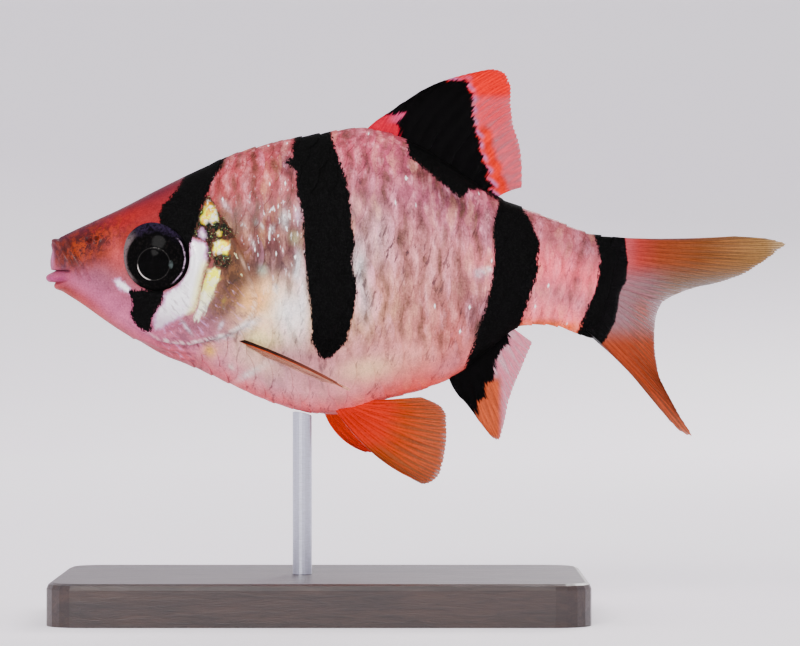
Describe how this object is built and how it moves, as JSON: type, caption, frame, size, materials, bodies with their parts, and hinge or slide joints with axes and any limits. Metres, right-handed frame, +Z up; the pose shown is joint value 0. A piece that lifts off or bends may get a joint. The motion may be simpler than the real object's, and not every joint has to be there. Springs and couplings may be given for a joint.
{
  "type": "tiger barb",
  "caption": "Deep-bodied small aquarium fish with four dark bars, swimming, held by a short rod on a flat display base.",
  "frame": {"origin": "on the surface the stand rests on, under the middle of the whole object's bounding box", "axes": "the head points along -X, the fish's left side faces -Y, +Z is up"},
  "size_m": [0.0617, 0.028, 0.0457],
  "materials": {
    "skin": "moist scaled skin, pink-mauve with dark bars",
    "gill_silver": "silvery iridescent gill cover",
    "eye": "wet black eye with a silver ring",
    "fin_black": "black fin membrane edged with red",
    "fin_red": "bright orange-red fin membrane",
    "fin_orange": "orange fin membrane, paler towards the fork",
    "fin_clear": "nearly clear fin membrane",
    "stand_wood": "dark satin wood",
    "stand_steel": "satin steel"
  },
  "bodies": {
    "root": {"head": "skin", "lower_jaw": "skin", "trunk": "skin", "tail_stem": "skin", "gill_cover_left": "gill_silver", "gill_cover_right": "gill_silver", "eye_left": "eye", "eye_right": "eye", "fin_dorsal": "fin_black", "fin_anal": "fin_black", "fin_tail_upper": "fin_orange", "fin_tail_lower": "fin_orange", "fin_pelvic_left": "fin_red", "fin_pelvic_right": "fin_red", "fin_pectoral_left": "fin_clear", "fin_pectoral_right": "fin_clear", "stand_base": "stand_wood", "stand_rod": "stand_steel"}
  },
  "joints": []
}
